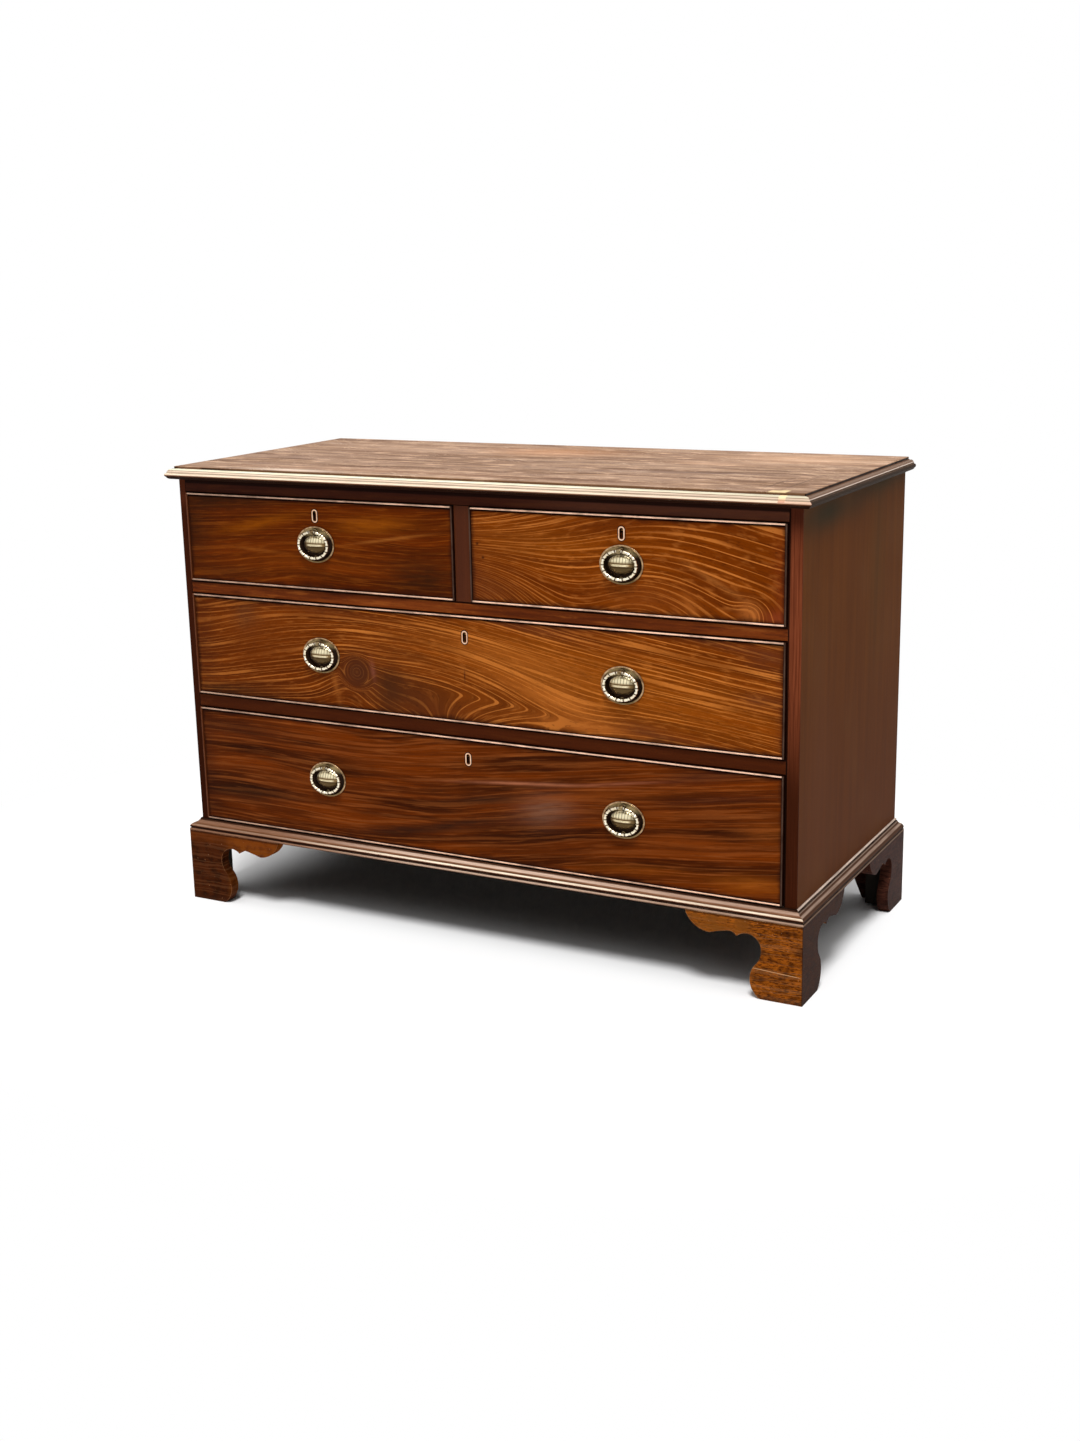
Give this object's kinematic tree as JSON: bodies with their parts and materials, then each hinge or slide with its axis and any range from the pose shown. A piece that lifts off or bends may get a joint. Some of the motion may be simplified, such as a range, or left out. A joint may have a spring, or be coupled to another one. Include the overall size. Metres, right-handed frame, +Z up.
{
  "type": "chest of drawers",
  "caption": "Low wooden chest with short drawers above long drawers, moulded top, bracket feet, cockbeaded fronts, locks and oval ring pulls.",
  "frame": {"origin": "centre of the overall box in plan, on the floor", "axes": "+X to the right seen from the front, -Y out of the drawer fronts, +Z up"},
  "size_m": [1.186, 0.53, 0.796],
  "materials": {
    "mahogany_front": "figured mahogany, french polished, warm orange-brown",
    "mahogany_bead": "plain mahogany bead, polished",
    "mahogany_top": "faded and worn mahogany, satin",
    "mahogany_moulding": "bleached and rubbed mahogany, waxed",
    "mahogany_carcase": "dark red-brown mahogany, waxed",
    "mahogany_foot": "golden brown mahogany, worn",
    "oak": "unpolished oak drawer lining, dry",
    "pine": "unpolished pine, dark with age",
    "brass": "old cast brass, rubbed bright on the high parts",
    "lock_steel": "dull old iron and steel"
  },
  "bodies": {
    "carcase": {"back_boards": "pine", "base_moulding": "mahogany_moulding", "bottom_board": "pine", "centre_divider": "mahogany_carcase", "drawer_rails": "mahogany_carcase", "drawer_runners": "pine", "drawer_stops": "pine", "dustboards": "pine", "foot_back_left": "mahogany_foot", "foot_back_right": "mahogany_foot", "foot_front_left": "mahogany_foot", "foot_front_right": "mahogany_foot", "foot_blocks": "pine", "side_left": "mahogany_carcase", "side_right": "mahogany_carcase", "top_board": "mahogany_top", "top_moulding": "mahogany_moulding", "top_rails": "mahogany_carcase"},
    "upper_left_drawer": {"upper_left_drawer_front": "mahogany_front", "upper_left_drawer_sides": "oak", "upper_left_drawer_back": "oak", "upper_left_drawer_bottom": "oak", "upper_left_drawer_cockbead": "mahogany_bead", "upper_left_lock_case": "lock_steel", "upper_left_escutcheon": "brass", "upper_left_handle_plates": "brass"},
    "upper_left_bolt": {"upper_left_lock_bolt": "lock_steel"},
    "upper_left_ring": {"upper_left_ring": "brass"},
    "upper_right_drawer": {"upper_right_drawer_front": "mahogany_front", "upper_right_drawer_sides": "oak", "upper_right_drawer_back": "oak", "upper_right_drawer_bottom": "oak", "upper_right_drawer_cockbead": "mahogany_bead", "upper_right_lock_case": "lock_steel", "upper_right_escutcheon": "brass", "upper_right_handle_plates": "brass"},
    "upper_right_bolt": {"upper_right_lock_bolt": "lock_steel"},
    "upper_right_ring": {"upper_right_ring": "brass"},
    "middle_drawer": {"middle_drawer_front": "mahogany_front", "middle_drawer_sides": "oak", "middle_drawer_back": "oak", "middle_drawer_bottom": "oak", "middle_drawer_cockbead": "mahogany_bead", "middle_lock_case": "lock_steel", "middle_escutcheon": "brass", "middle_handle_plates": "brass"},
    "middle_bolt": {"middle_lock_bolt": "lock_steel"},
    "middle_ring_left": {"middle_ring_left": "brass"},
    "middle_ring_right": {"middle_ring_right": "brass"},
    "bottom_drawer": {"bottom_drawer_front": "mahogany_front", "bottom_drawer_sides": "oak", "bottom_drawer_back": "oak", "bottom_drawer_bottom": "oak", "bottom_drawer_cockbead": "mahogany_bead", "bottom_lock_case": "lock_steel", "bottom_escutcheon": "brass", "bottom_handle_plates": "brass"},
    "bottom_bolt": {"bottom_lock_bolt": "lock_steel"},
    "bottom_ring_left": {"bottom_ring_left": "brass"},
    "bottom_ring_right": {"bottom_ring_right": "brass"}
  },
  "joints": [
    {"name": "upper_left_drawer_slide", "type": "slide", "parent": "carcase", "child": "upper_left_drawer", "axis": [0, -1, 0], "range_m": [0, 0.4]},
    {"name": "upper_left_bolt_slide", "type": "slide", "parent": "upper_left_drawer", "child": "upper_left_bolt", "axis": [0, 0, 1], "range_m": [0, 0.007]},
    {"name": "upper_left_ring_hinge", "type": "hinge", "parent": "upper_left_drawer", "child": "upper_left_ring", "pos_m": [-0.28975, -0.258, 0.6954], "axis": [-1, 0, 0], "range_deg": [0, 150]},
    {"name": "upper_right_drawer_slide", "type": "slide", "parent": "carcase", "child": "upper_right_drawer", "axis": [0, -1, 0], "range_m": [0, 0.4]},
    {"name": "upper_right_bolt_slide", "type": "slide", "parent": "upper_right_drawer", "child": "upper_right_bolt", "axis": [0, 0, 1], "range_m": [0, 0.007]},
    {"name": "upper_right_ring_hinge", "type": "hinge", "parent": "upper_right_drawer", "child": "upper_right_ring", "pos_m": [0.28175, -0.258, 0.6954], "axis": [-1, 0, 0], "range_deg": [0, 150]},
    {"name": "middle_drawer_slide", "type": "slide", "parent": "carcase", "child": "middle_drawer", "axis": [0, -1, 0], "range_m": [0, 0.4]},
    {"name": "middle_bolt_slide", "type": "slide", "parent": "middle_drawer", "child": "middle_bolt", "axis": [0, 0, 1], "range_m": [0, 0.007]},
    {"name": "middle_ring_left_hinge", "type": "hinge", "parent": "middle_drawer", "child": "middle_ring_left", "pos_m": [-0.28975, -0.258, 0.5035], "axis": [-1, 0, 0], "range_deg": [0, 150]},
    {"name": "middle_ring_right_hinge", "type": "hinge", "parent": "middle_drawer", "child": "middle_ring_right", "pos_m": [0.28175, -0.258, 0.5035], "axis": [-1, 0, 0], "range_deg": [0, 150]},
    {"name": "bottom_drawer_slide", "type": "slide", "parent": "carcase", "child": "bottom_drawer", "axis": [0, -1, 0], "range_m": [0, 0.4]},
    {"name": "bottom_bolt_slide", "type": "slide", "parent": "bottom_drawer", "child": "bottom_bolt", "axis": [0, 0, 1], "range_m": [0, 0.007]},
    {"name": "bottom_ring_left_hinge", "type": "hinge", "parent": "bottom_drawer", "child": "bottom_ring_left", "pos_m": [-0.28975, -0.258, 0.2816], "axis": [-1, 0, 0], "range_deg": [0, 150]},
    {"name": "bottom_ring_right_hinge", "type": "hinge", "parent": "bottom_drawer", "child": "bottom_ring_right", "pos_m": [0.28175, -0.258, 0.2816], "axis": [-1, 0, 0], "range_deg": [0, 150]}
  ]
}
